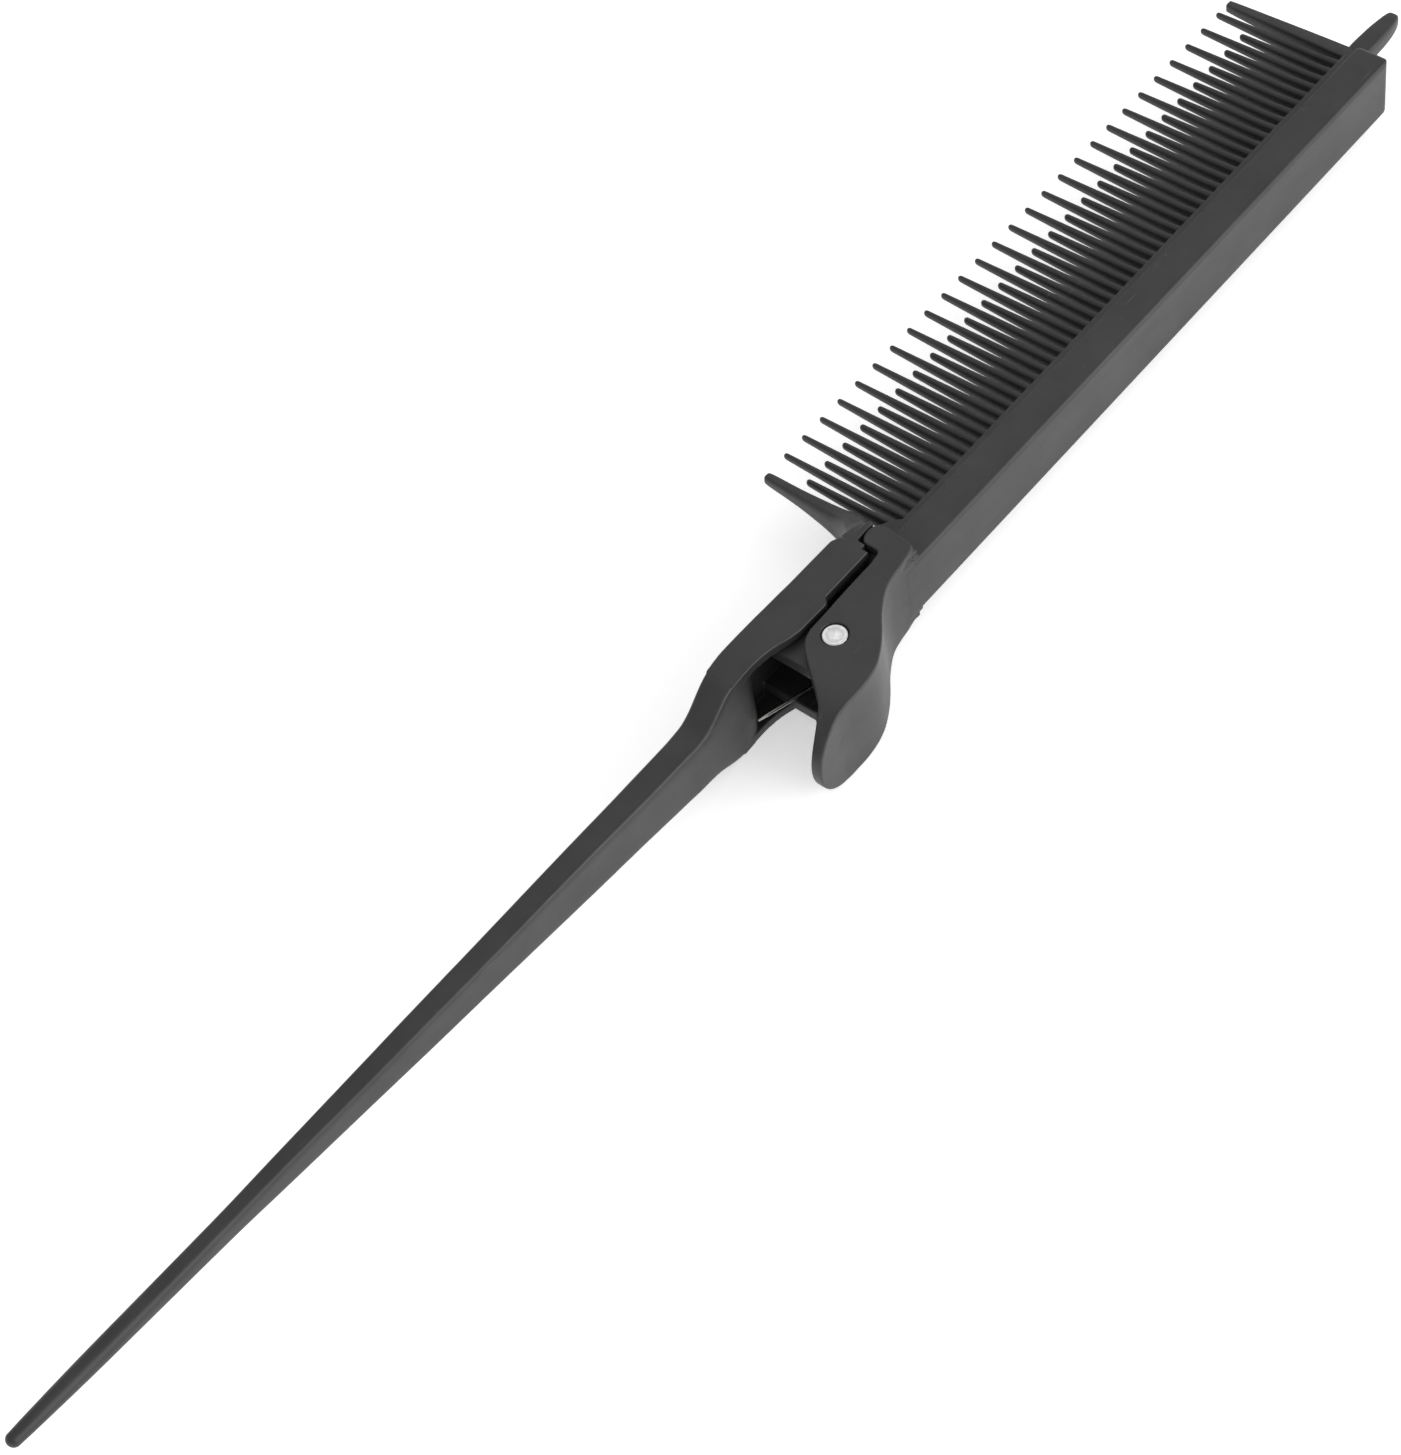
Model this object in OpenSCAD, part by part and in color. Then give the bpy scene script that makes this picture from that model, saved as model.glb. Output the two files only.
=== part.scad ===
// Rat tail comb with a spring-closed hair clamp. Units are millimetres.
// Frame: the origin is on the pivot axis, on the plane of the flat side that the comb lies on.
// +X runs from the tail to the head of the comb, +Y from the tooth roots to the tips,
// and +Z across the comb's thickness. The comb is the same on both sides of its middle plane.

/* [Teeth] */
// Distance from one long tooth to the next
tooth_pitch = 3.9; // [3.6:0.1:4.2]
// Number of long teeth; a short tooth stands before each
tooth_pairs = 27; // [20:1:28]
// Height of the long tooth tips above the pivot axis
long_tip_y = 28.8; // [26:0.1:32]
// Height of the short tooth tips above the pivot axis
short_tip_y = 23.3; // [19:0.1:25]

/* [Comb spine] */
// Thickness of the spine that carries the teeth
spine_w = 4; // [3:0.1:5]
// Height of the tooth roots above the pivot axis
root_y = 7.6; // [7.2:0.1:7.8]

/* [Clamp] */
// Outer width of the clamp channel
channel_w = 10.1; // [9.6:0.1:10.6]
// Wall thickness of the mouldings
wall = 1.5; // [1.3:0.1:1.6]

/* [Pivot] */
// Width of the pivot housing, cheek face to cheek face
housing_w = 14.7; // [14.2:0.1:15.2]
// Thickness of one cheek of the clamp
cheek_t = 1.6; // [1.4:0.1:1.7]
// Thickness of one lug of the handle
lug_t = 2; // [1.6:0.1:2.2]
// Radius of the rivet's shank
shank_r = 1.2; // [1:0.05:1.25]
// Radius of the rivet's heads
head_r = 1.78; // [1.7:0.01:1.9]
// Thickness of a rivet head
head_t = 0.5; // [0.4:0.05:0.6]
// Radial clearance of the rivet in its bores
running_gap = 0.05; // [0.03:0.01:0.08]

/* [Tail] */
// Length of the tail beyond the pivot axis
tail_length = 143.2; // [141.5:0.1:150]

/* [Spring] */
// Radius of the spring wire
wire_r = 0.27; // [0.2:0.01:0.3]
// Mean radius of the spring coil
coil_r = 1.94; // [1.85:0.01:2]
// Turns of the coil between its two legs
coil_turns = 8; // [6:1:9]

/* [Hidden] */

round_fn = 64;
section_fn = 20;
tooth_fn = 10;
wire_fn = 8;

// Middle plane and the levels across the thickness
mid_z = housing_w / 2;
channel_z = mid_z - channel_w / 2;
tongue_w = spine_w - 1.1;
lug_gap = 0.2;
lug_z = cheek_t + lug_gap;

// Levels along the comb
first_long_x = 24.3;
last_long_x = first_long_x + tooth_pitch * (tooth_pairs - 1);
channel_start_x = 17.6;
channel_end_x = last_long_x + 1.5;
toe_x = last_long_x + 2.4;
toe_end_x = toe_x + 1;
tongue_end_x = last_long_x + 13.2;
housing_end_x = 13;
plate_end_x = 13.05;
notch_x = 13.85;
block_end_x = 17.3;
neck_x = -25;
cavity_x = -14;

// The thumb lever is a half round tab: its flat width ends here, and its centre lies here
lever_x = -7.75;
lever_back_y = -8.15;

// Levels from the back of the clamp to the teeth
channel_y = -0.2;
jaw_edge_y = 5;
shoulder_y = 1.5;
shoulder_l = 1.3;
spine_y = 1.6;
plate_edge_y = 4.8;
notch_y = 5.95;
stop_y = 7.25;
tongue_low_y = 5.1;
roof_y = 8.9;

// Bores and counterbores round the rivet
bore_r = shank_r + running_gap;
counterbore_r = head_r + 0.12;
counterbore_t = head_t + 0.05;

// A curve through the given points, with equal steps between them
function blend(a, b, c, d, t) =
    0.5 * (2 * b + (c - a) * t + (2 * a - 5 * b + 4 * c - d) * t * t
           + (3 * b - a - 3 * c + d) * t * t * t);
function curve(pts, steps = 4) =
    let (last = len(pts) - 1)
    concat([for (i = [0 : last - 1]) for (s = [0 : steps - 1])
                blend(pts[max(i - 1, 0)], pts[i], pts[i + 1], pts[min(i + 2, last)], s / steps)],
           [pts[last]]);

// The same curve moved sideways by a distance, to its left as it runs
function direction(pts, i) =
    let (d = pts[min(i + 1, len(pts) - 1)] - pts[max(i - 1, 0)]) d / norm(d);
function beside(pts, distance) =
    [for (i = [0 : len(pts) - 1])
        let (d = direction(pts, i)) pts[i] + distance * [-d[1], d[0]]];
function backward(pts) = [for (i = [len(pts) - 1 : -1 : 0]) pts[i]];

// Outer face of the clamp from the channel round the pivot to the thumb lever
web_face = curve([[channel_start_x, channel_y], [14.5, -0.15], [12, -0.35], [9.4, -1],
                  [6.4, -2.75], [3.9, -4.7], [1.7, -6.2], [-0.9, -7.5], [-3.9, -8.1],
                  [lever_x, lever_back_y]]);
// Edge of a cheek that faces the handle, from the lever to the hook
cheek_edge = curve([[lever_x, -2.6], [-6.4, -0.9], [-4.4, 1.4], [-2.9, 2.65], [-1.2, 3.2]]);
// Hook of a cheek, from its foot round the notch of the handle to the channel
hook_edge = [[1.6, 3.25], [8, 3.42], [12, 3.45], [13.5, 3.65], [14, 4.3], [14, 6], [14.4, 6.65],
             [15.3, 7.05], [16.4, 7.1], [17.2, 6.7], [17.6, 6.05], [17.75, 5.4], [17.75, 4.2],
             [channel_start_x, 3.4]];
// Back corner of a cheek, cut away beside the channel
cheek_corner = [[channel_start_x, 1.2], [17.3, 0.75], [16.4, 0.28], [14.9, 0.05]];
// Side view of the thumb lever: its back, then its rim from the tip up to the cheeks
lever_side = concat([[lever_x, lever_back_y], [-9.9, -8.25], [-13.4, -8.7], [-16, -9.05], [-16, -7.35]],
                    curve([[-14.4, -7.1], [-13.2, -6.75], [-11.6, -6.05], [-9.7, -4.85], [lever_x, -2.6]]));
// Lower edge of the handle's plates, from the neck to the pivot
plate_edge = curve([[cavity_x, 5.4], [-11.8, 5.55], [-9.6, 5.6], [-7.4, 5.4], [-5.6, 5],
                    [-3.7, 4.4], [-1.9, 4.05]]);
// Upper edge of the handle, from the pivot back to the neck
roof_edge = curve([[3, 10.2], [-4, 10.4], [-9, 10.45], [-11.6, 10.35], [cavity_x, 10]]);
// Inside of the handle: the floor of the neck curves up into the housing
ramp = curve([[cavity_x, 5.4], [-12.6, 5.5], [-10.6, 6], [-9.1, 7.2], [-8.3, roof_y]]);

// Stations of the handle's neck: position, lower edge, upper edge, width, squareness
neck_stations = [[-25, 4.65, 8.9, 8.8, 8], [-23, 4.55, 8.95, 8.95, 8], [-21, 4.6, 9.05, 9.3, 8],
                 [-19.2, 4.8, 9.25, 10.4, 9], [-17.6, 5, 9.5, 12, 10], [-16.2, 5.2, 9.7, 13.4, 12],
                 [-15, 5.33, 9.87, 14.3, 14], [cavity_x, 5.4, 10, 14.6, 16]];
// Stations of the tail: position, height, width, squareness
tail_stations = [[-140, 2.2, 2.2, 2], [-131, 2.65, 2.75, 2], [-120, 2.65, 2.95, 2.6],
                 [-107, 2.6, 3.35, 3.5], [-98, 2.7, 4.05, 4.5], [-84, 3.05, 4.75, 6],
                 [-73, 3.3, 5.5, 7], [-61, 3.5, 6.2, 8], [-45, 3.8, 7.5, 8], [-35, 4.05, 7.95, 8],
                 [-30, 4.2, 8.3, 8], [neck_x, 4.25, 8.8, 8]];
tail_tip_r = 1.05;
function tail_mid_y(x) = 6.1 - 0.027 * x;

// One ring of a loft across X: a superellipse that runs from round (2) to nearly square (16)
function signed_power(v, p) = sign(v) * pow(abs(v), p);
function section(x, y, h, w, squareness) =
    [for (i = [0 : section_fn - 1])
        let (a = 360 * i / section_fn)
        [x, y + h / 2 * signed_power(cos(a), 2 / squareness),
         mid_z + w / 2 * signed_power(sin(a), 2 / squareness)]];

// One elliptical ring of a tooth
function tooth_ring(x, y, wx, wz) =
    [for (i = [0 : tooth_fn - 1])
        let (a = 360 * i / tooth_fn)
        [x + wx / 2 * sin(a), y, mid_z + wz / 2 * cos(a)]];

// One four-cornered ring, from a near corner to a far corner, as wide as w across the comb
function slab_ring(near, far, w) =
    [[near[0], near[1], mid_z + w / 2], [far[0], far[1], mid_z + w / 2],
     [far[0], far[1], mid_z - w / 2], [near[0], near[1], mid_z - w / 2]];

// A closed skin over a list of rings that all have the same number of points
module loft(rings) {
    n = len(rings[0]);
    last = (len(rings) - 1) * n;
    polyhedron(
        points = [for (ring = rings) each ring],
        faces = concat(
            [[for (j = [n - 1 : -1 : 0]) j]],
            [for (i = [0 : len(rings) - 2]) for (j = [0 : n - 1])
                [i * n + j, i * n + (j + 1) % n, (i + 1) * n + j]],
            [for (i = [0 : len(rings) - 2]) for (j = [0 : n - 1])
                [i * n + (j + 1) % n, (i + 1) * n + (j + 1) % n, (i + 1) * n + j]],
            [[for (j = [0 : n - 1]) last + j]]));
}

// The same outline as two plates, one on each face of the housing
module plate_pair(inset, thickness) {
    for (z = [inset, housing_w - inset - thickness])
        translate([0, 0, z]) linear_extrude(thickness) children();
}

module between_plates(inset) {
    translate([0, 0, inset]) linear_extrude(housing_w - 2 * inset) children();
}

// Handle and comb moulding

module rat_tail() {
    tip = [for (a = [18, 45, 72])
        let (x = -tail_length + tail_tip_r * (1 - cos(a)), d = 2 * tail_tip_r * sin(a))
        section(x, tail_mid_y(x), d, d, 2)];
    color("#303131")
        loft(concat(tip, [for (s = tail_stations) section(s[0], tail_mid_y(s[0]), s[1], s[2], s[3])]));
}

module handle_neck() {
    color("#303131")
        loft([for (s = neck_stations) section(s[0], (s[1] + s[2]) / 2, s[2] - s[1], s[3], s[4])]);
}

module housing_roof() {
    outline = concat(ramp, [[housing_end_x - wall, roof_y], [housing_end_x - wall, plate_edge_y],
                            [housing_end_x, plate_edge_y], [housing_end_x, 9.2], [11.8, 10.1]],
                     roof_edge);
    color("#303131") between_plates(wall) polygon(outline);
}

module housing_plates() {
    outline = concat(plate_edge, [[0.5, 4], [2.9, 3.95], [3.6, 4.2], [4.1, plate_edge_y],
                                  [plate_end_x, plate_edge_y], [plate_end_x, notch_y],
                                  [notch_x, notch_y], [notch_x, stop_y],
                                  [block_end_x, stop_y], [block_end_x, root_y],
                                  [housing_end_x, root_y], [housing_end_x, 9.2], [11.8, 10.1]],
                     roof_edge);
    color("#303131") plate_pair(0, wall) polygon(outline);
}

module pivot_lugs() {
    lug_r = 3.6;
    color("#303131") difference() {
        plate_pair(lug_z, lug_t)
            polygon(concat([[-5.5, roof_y], [-5.5, 0]],
                           [for (a = [215 : 14.5 : 360]) lug_r * [cos(a), sin(a)]],
                           [[lug_r, roof_y]]));
        cylinder(r = bore_r, h = housing_w, $fn = round_fn);
    }
}

module comb_spine() {
    color("#303131") union() {
        translate([housing_end_x, spine_y, mid_z - spine_w / 2])
            cube([channel_end_x - housing_end_x, root_y - spine_y, spine_w]);
        // Seat of the guard tooth, past the end of the channel
        translate([channel_end_x, tongue_low_y, mid_z - tongue_w / 2])
            cube([toe_end_x - channel_end_x, root_y - tongue_low_y, tongue_w]);
    }
}

module spine_tongue() {
    // Along the tongue: share of its length, lower edge, upper edge, share of its width
    stations = [[0, tongue_low_y, 8.35, 1], [0.44, 5.1, 8.25, 0.98], [0.68, 5.25, 8.05, 0.92],
                [0.84, 5.5, 7.85, 0.82], [0.94, 5.85, 7.65, 0.68], [1, 6.35, 7.3, 0.45]];
    rings = [for (s = stations)
        section(toe_end_x + (tongue_end_x - toe_end_x) * s[0], (s[1] + s[2]) / 2, s[2] - s[1],
                tongue_w * s[3], 3.5)];
    color("#303131") loft(rings);
}

module heel_guard_tooth() {
    color("#303131") loft([
        slab_ring([housing_end_x, root_y], [block_end_x, root_y], housing_w),
        slab_ring([housing_end_x, 9.3], [block_end_x, root_y + 0.1], housing_w),
        slab_ring([14, 10.1], [18.1, 8.1], 13.2),
        slab_ring([15, 10.9], [18.8, 8.8], 11.3),
        slab_ring([16.6, 12.2], [19.8, 10.4], 8.4),
        slab_ring([17.8, 14.2], [20.35, 13], 5.6),
        slab_ring([18.3, 16.8], [20.4, 16.4], 3.8),
        slab_ring([18.8, 22], [20.35, 22], 2.2),
        slab_ring([19.2, 28], [20.4, 28], 1.5),
        slab_ring([19.5, 28.5], [20.1, 28.5], 0.8)]);
}

module toe_guard_tooth() {
    // Height of each ring, its inner and outer edge from the tooth's middle, and its width
    stations = [[root_y, -1.3, 1, 2.9], [14, -1.2, 0.75, 2.7], [21.5, -1.05, 0.55, 2.2],
                [27.9, -0.85, 0.45, 1.6], [28.55, -0.5, 0.15, 0.9]];
    color("#303131")
        loft([for (s = stations) slab_ring([toe_x + s[1], s[0]], [toe_x + s[2], s[0]], s[3])]);
}

// A row of tapered teeth with rounded tips
module tooth_row(start_x, tip_y, mid_size, tip_size) {
    root_size = [1.2, 2.7];
    for (k = [0 : tooth_pairs - 1])
        let (x = start_x + tooth_pitch * k)
        loft([tooth_ring(x, root_y, root_size[0], root_size[1]),
              tooth_ring(x, (root_y + tip_y) / 2, mid_size[0], mid_size[1]),
              tooth_ring(x, tip_y - 0.6, tip_size[0], tip_size[1]),
              tooth_ring(x, tip_y - 0.18, tip_size[0] * 0.72, tip_size[1] * 0.72),
              tooth_ring(x, tip_y, tip_size[0] * 0.28, tip_size[1] * 0.28)]);
}

module long_teeth() {
    color("#303131") tooth_row(first_long_x, long_tip_y, [1.05, 1.9], [0.72, 1.15]);
}

module short_teeth() {
    color("#303131") tooth_row(first_long_x - tooth_pitch / 2, short_tip_y, [1.1, 2.05], [0.8, 1.3]);
}

// Clamp moulding

module channel_floor() {
    color("#454646") translate([channel_start_x, channel_y, channel_z])
        cube([channel_end_x - channel_start_x, wall, channel_w]);
}

module channel_jaws() {
    for (z = [channel_z, housing_w - channel_z - wall])
        color("#454646") translate([channel_start_x, channel_y + wall, z])
            cube([channel_end_x - channel_start_x, jaw_edge_y - channel_y - wall, wall]);
    // Shoulders that join the jaws to the cheeks
    depth = channel_z + wall - cheek_t;
    for (z = [cheek_t, housing_w - cheek_t - depth])
        color("#454646") translate([channel_start_x - shoulder_l, shoulder_y, z])
            cube([shoulder_l, jaw_edge_y - shoulder_y, depth]);
}

module pivot_cheeks() {
    outline = concat(cheek_corner, [for (p = web_face) if (p[0] < 13.8) p], cheek_edge, hook_edge);
    color("#454646") difference() {
        plate_pair(0, cheek_t) polygon(outline);
        translate([0, 0, -1]) cylinder(r = bore_r, h = housing_w + 2, $fn = round_fn);
        for (z = [-1, housing_w - counterbore_t])
            translate([0, 0, z]) cylinder(r = counterbore_r, h = counterbore_t + 1, $fn = round_fn);
    }
}

module lever_web() {
    reach = 20;
    color("#454646") between_plates(cheek_t) intersection() {
        polygon(concat(web_face, backward(beside(web_face, -cheek_t))));
        translate([lever_x, -reach]) square([channel_start_x - lever_x, 2 * reach]);
    }
}

// A round post across the lever, from a level upwards along +Y
module lever_post(r, from_y) {
    reach = 12;
    translate([lever_x, from_y + reach, mid_z]) rotate([90, 0, 0])
        cylinder(r = r, h = reach, $fn = round_fn);
}

module thumb_lever() {
    color("#454646") difference() {
        intersection() {
            linear_extrude(housing_w) polygon(lever_side);
            lever_post(housing_w / 2, lever_back_y - 2);
        }
        lever_post(housing_w / 2 - cheek_t, lever_back_y + cheek_t);
    }
}

// Rivet and spring

module pivot_rivet() {
    color("silver") union() {
        cylinder(r = head_r, h = head_t, $fn = round_fn);
        cylinder(r = shank_r, h = housing_w, $fn = round_fn);
        translate([0, 0, housing_w - head_t]) cylinder(r = head_r, h = head_t, $fn = round_fn);
    }
}

// The spring's path: handle leg, coil round the rivet, lever leg
handle_leg_end = [-10.9, 5.35];
lever_leg_end = [-8.6, -6.15];
coil_z = lug_z + lug_t + wire_r + 0.08;
coil_pitch = (housing_w - 2 * coil_z) / coil_turns;
// Angle at which a straight leg to the given end leaves the coil
function leave_angle(end, side) =
    atan2(end[1], end[0]) + side * acos(coil_r / norm(end));
start_angle = leave_angle(handle_leg_end, -1);
end_angle = leave_angle(lever_leg_end, 1) - 360;
coil_steps = 14 * coil_turns;
coil_sweep = end_angle - start_angle - 360 * (coil_turns - 1);
function coil_point(i) =
    let (a = start_angle + coil_sweep * i / coil_steps,
         z = coil_z + coil_pitch * coil_turns * i / coil_steps)
    [coil_r * cos(a), coil_r * sin(a), z];
spring_path = concat([[handle_leg_end[0], handle_leg_end[1], coil_z]],
                     [for (i = [0 : coil_steps]) coil_point(i)],
                     [[lever_leg_end[0], lever_leg_end[1], housing_w - coil_z]]);

// A ring of the wire, square to the path in plan
function wire_ring(i) =
    let (d = direction([for (p = spring_path) [p[0], p[1]]], i), side = [-d[1], d[0]])
    [for (k = [0 : wire_fn - 1])
        let (a = 360 * k / wire_fn)
        [spring_path[i][0] + wire_r * cos(a) * side[0], spring_path[i][1] + wire_r * cos(a) * side[1],
         spring_path[i][2] + wire_r * sin(a)]];

module torsion_spring() {
    color("gray") loft([for (i = [0 : len(spring_path) - 1]) wire_ring(i)]);
}

rat_tail();
handle_neck();
housing_roof();
housing_plates();
pivot_lugs();
comb_spine();
spine_tongue();
heel_guard_tooth();
toe_guard_tooth();
long_teeth();
short_teeth();
channel_floor();
channel_jaws();
pivot_cheeks();
lever_web();
thumb_lever();
pivot_rivet();
torsion_spring();
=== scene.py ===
import math

import bmesh
import bpy
from mathutils import Matrix, Vector


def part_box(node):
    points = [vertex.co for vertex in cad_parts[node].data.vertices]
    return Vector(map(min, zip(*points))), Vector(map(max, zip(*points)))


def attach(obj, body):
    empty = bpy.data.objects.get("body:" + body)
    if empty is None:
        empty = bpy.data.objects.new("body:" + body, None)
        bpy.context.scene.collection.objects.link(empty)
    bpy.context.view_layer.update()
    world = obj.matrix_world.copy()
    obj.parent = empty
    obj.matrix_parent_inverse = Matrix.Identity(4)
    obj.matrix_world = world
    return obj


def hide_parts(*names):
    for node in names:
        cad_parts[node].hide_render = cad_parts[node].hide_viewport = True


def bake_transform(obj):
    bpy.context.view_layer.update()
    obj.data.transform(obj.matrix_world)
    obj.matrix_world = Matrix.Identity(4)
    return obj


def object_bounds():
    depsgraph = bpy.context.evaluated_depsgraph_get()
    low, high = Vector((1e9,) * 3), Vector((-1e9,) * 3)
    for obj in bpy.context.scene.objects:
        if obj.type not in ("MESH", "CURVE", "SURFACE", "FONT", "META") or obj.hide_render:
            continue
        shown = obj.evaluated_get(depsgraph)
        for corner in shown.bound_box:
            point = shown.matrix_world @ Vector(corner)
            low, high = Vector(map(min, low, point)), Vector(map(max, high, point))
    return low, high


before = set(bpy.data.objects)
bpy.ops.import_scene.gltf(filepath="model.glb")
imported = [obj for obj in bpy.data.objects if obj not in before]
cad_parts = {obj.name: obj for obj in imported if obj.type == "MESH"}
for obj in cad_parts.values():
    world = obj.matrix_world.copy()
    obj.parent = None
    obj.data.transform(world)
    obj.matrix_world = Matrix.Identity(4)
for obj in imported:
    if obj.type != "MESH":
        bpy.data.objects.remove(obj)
cad_low, cad_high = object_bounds()

# Lengths are millimetres in the part's frame, and MM turns them into metres. Lights and camera are in metres.
MM = 0.001

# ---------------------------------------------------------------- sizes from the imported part


def box_mm(node):
    """The lowest and the highest corner of a node of the part, in millimetres."""
    low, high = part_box(node)
    return low / MM, high / MM


floor_low, floor_high = box_mm("channel_floor")
spine_low, spine_high = box_mm("comb_spine")
tongue_low, tongue_high = box_mm("spine_tongue")
jaws_high = box_mm("channel_jaws")[1]
tail_end_x = box_mm("rat_tail")[0].x
long_tip_y = box_mm("long_teeth")[1].y
short_tip_y = box_mm("short_teeth")[1].y
head_r = box_mm("pivot_rivet")[1].x
housing_w = box_mm("housing_plates")[1].z

mid_z = housing_w / 2
channel_start_x = floor_low.x
channel_end_x = jaws_high.x
root_y = spine_high.y

# Driving values of the part that its boxes do not show
wall = 1.5
cheek_t = 1.6
lug_t = 2.0
lug_z = 1.8
shank_r = 1.2
counterbore_r = 1.9
counterbore_t = 0.55
tooth_pitch = 3.9
tooth_pairs = 27
first_long_x = 24.3
housing_end_x = 13.0
plate_end_x = 13.05
notch_x = 13.85
block_end_x = 17.3
cavity_x = -14.0
lever_x = -7.75
lever_back_y = -8.15
roof_y = 8.9
plate_edge_y = 4.8
notch_y = 5.95
stop_y = 7.25

# ---------------------------------------------------------------- plane and space geometry


def curve(points, steps=6):
    """A smooth curve through the points, with equal steps between them."""
    found = []
    last = len(points) - 1
    size = len(points[0])
    for i in range(last):
        a = points[max(i - 1, 0)]
        b = points[i]
        c = points[i + 1]
        d = points[min(i + 2, last)]
        for s in range(steps):
            t = s / steps
            found.append([
                0.5 * (2 * b[k] + (c[k] - a[k]) * t + (2 * a[k] - 5 * b[k] + 4 * c[k] - d[k]) * t * t
                       + (3 * b[k] - a[k] - 3 * c[k] + d[k]) * t * t * t)
                for k in range(size)
            ])
    found.append(list(points[last]))
    return found


def beside(points, distance):
    """The same line moved sideways, to its left as it runs."""
    moved = []
    for i, p in enumerate(points):
        a = Vector(points[max(i - 1, 0)][:2])
        b = Vector(points[min(i + 1, len(points) - 1)][:2])
        along = (b - a).normalized()
        moved.append([p[0] - distance * along.y, p[1] + distance * along.x])
    return moved


def signed_area(outline):
    total = 0.0
    for i, p in enumerate(outline):
        q = outline[(i + 1) % len(outline)]
        total += p[0] * q[1] - q[0] * p[1]
    return total / 2


def inward_normals(outline):
    """For each corner, the vector that moves it one unit inwards from both of its edges."""
    turn = 1 if signed_area(outline) > 0 else -1
    normals = []
    count = len(outline)
    for i in range(count):
        a = Vector(outline[i - 1])
        b = Vector(outline[i])
        c = Vector(outline[(i + 1) % count])
        first = (b - a).normalized()
        second = (c - b).normalized()
        n1 = Vector((-first.y, first.x)) * turn
        n2 = Vector((-second.y, second.x)) * turn
        # Limited at sharp corners, where the two edges would move it very far
        normals.append((n1 + n2) / max(1 + n1.dot(n2), 0.35))
    return normals


def superellipse(count, squareness):
    """Points of a superellipse of unit half width, from round (2) to nearly square (16)."""
    points = []
    for i in range(count):
        a = 2 * math.pi * i / count
        c = math.copysign(abs(math.cos(a)) ** (2 / squareness), math.cos(a))
        s = math.copysign(abs(math.sin(a)) ** (2 / squareness), math.sin(a))
        points.append((c, s))
    return points


def rounded_slab(u_low, u_high, v_low, v_high, radius, steps=3):
    """Outline of a rectangle with rounded corners, their radius kept under half of the shorter side."""
    radius = min(radius, (u_high - u_low) / 2.02, (v_high - v_low) / 2.02)
    corners = [(u_high - radius, v_high - radius, 0), (u_low + radius, v_high - radius, 90),
               (u_low + radius, v_low + radius, 180), (u_high - radius, v_low + radius, 270)]
    points = []
    for u, v, start in corners:
        for k in range(steps + 1):
            a = math.radians(start + 90 * k / steps)
            points.append((u + radius * math.cos(a), v + radius * math.sin(a)))
    return points


def turned(profile, steps):
    """Rings of a shape turned about the pivot axis, from its radii and levels."""
    circle = [2 * math.pi * k / steps for k in range(steps)]
    return [[(r * math.cos(a), r * math.sin(a), z) for a in circle] for r, z in profile]


def across(u, v, w):
    """A prism's point where the prism runs along Z."""
    return u, v, w


def lengthwise(u, v, w):
    """A prism's point where the prism runs along X."""
    return w, u, v


class Shell:
    """Closed skins gathered for one mesh, in millimetres."""

    def __init__(self):
        self.points = []
        self.faces = []

    def loft(self, rings):
        start = len(self.points)
        count = len(rings[0])
        for ring in rings:
            self.points += [tuple(p) for p in ring]
        self.faces.append([start + j for j in range(count - 1, -1, -1)])
        for i in range(len(rings) - 1):
            for j in range(count):
                k = (j + 1) % count
                low = start + i * count
                high = low + count
                self.faces.append([low + j, low + k, high + k, high + j])
        last = start + (len(rings) - 1) * count
        self.faces.append([last + j for j in range(count)])

    def prism(self, outline, low, high, low_edge=0.0, high_edge=0.0, place=across, steps=5):
        """A prism over an outline, its edges rounded at both ends by one radius or one per corner."""
        count = len(outline)
        normals = inward_normals(outline)
        low_edges = low_edge if isinstance(low_edge, list) else [low_edge] * count
        high_edges = high_edge if isinstance(high_edge, list) else [high_edge] * count
        rings = []
        for k in range(steps + 1):
            a = math.pi / 2 * k / steps
            rings.append([(r * (1 - math.sin(a)), low + r * (1 - math.cos(a))) for r in low_edges])
        for k in range(steps, -1, -1):
            a = math.pi / 2 * k / steps
            rings.append([(r * (1 - math.sin(a)), high - r * (1 - math.cos(a))) for r in high_edges])
        self.loft([
            [place(p[0] + n.x * inset, p[1] + n.y * inset, level)
             for p, n, (inset, level) in zip(outline, normals, ring)]
            for ring in rings
        ])

    def mesh(self, name):
        """The gathered skins as a mesh in metres, its faces turned outwards."""
        made = bpy.data.meshes.new(name)
        made.from_pydata([(x * MM, y * MM, z * MM) for x, y, z in self.points], [], self.faces)
        work = bmesh.new()
        work.from_mesh(made)
        bmesh.ops.remove_doubles(work, verts=work.verts, dist=1e-7)
        bmesh.ops.dissolve_degenerate(work, edges=work.edges, dist=1e-8)
        bmesh.ops.recalc_face_normals(work, faces=work.faces)
        work.to_mesh(made)
        work.free()
        return made


def new_object(name, mesh):
    made = bpy.data.objects.new(name, mesh)
    bpy.context.scene.collection.objects.link(made)
    return made


def settle(made):
    """Replaces an object's mesh by what its modifiers make of it."""
    graph = bpy.context.evaluated_depsgraph_get()
    result = bpy.data.meshes.new_from_object(made.evaluated_get(graph))
    made.modifiers.clear()
    made.data = result
    result.name = made.name
    return made


def finish_piece(made, material, body, nodes, smooth_angle=35):
    """Gives a piece its material, smooth shading and place among the bodies."""
    made.data.materials.clear()
    made.data.materials.append(material)
    made.data.shade_smooth()
    if smooth_angle:
        made.data.set_sharp_from_angle(angle=math.radians(smooth_angle))
    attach(made, body)
    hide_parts(*nodes)
    return made


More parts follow.
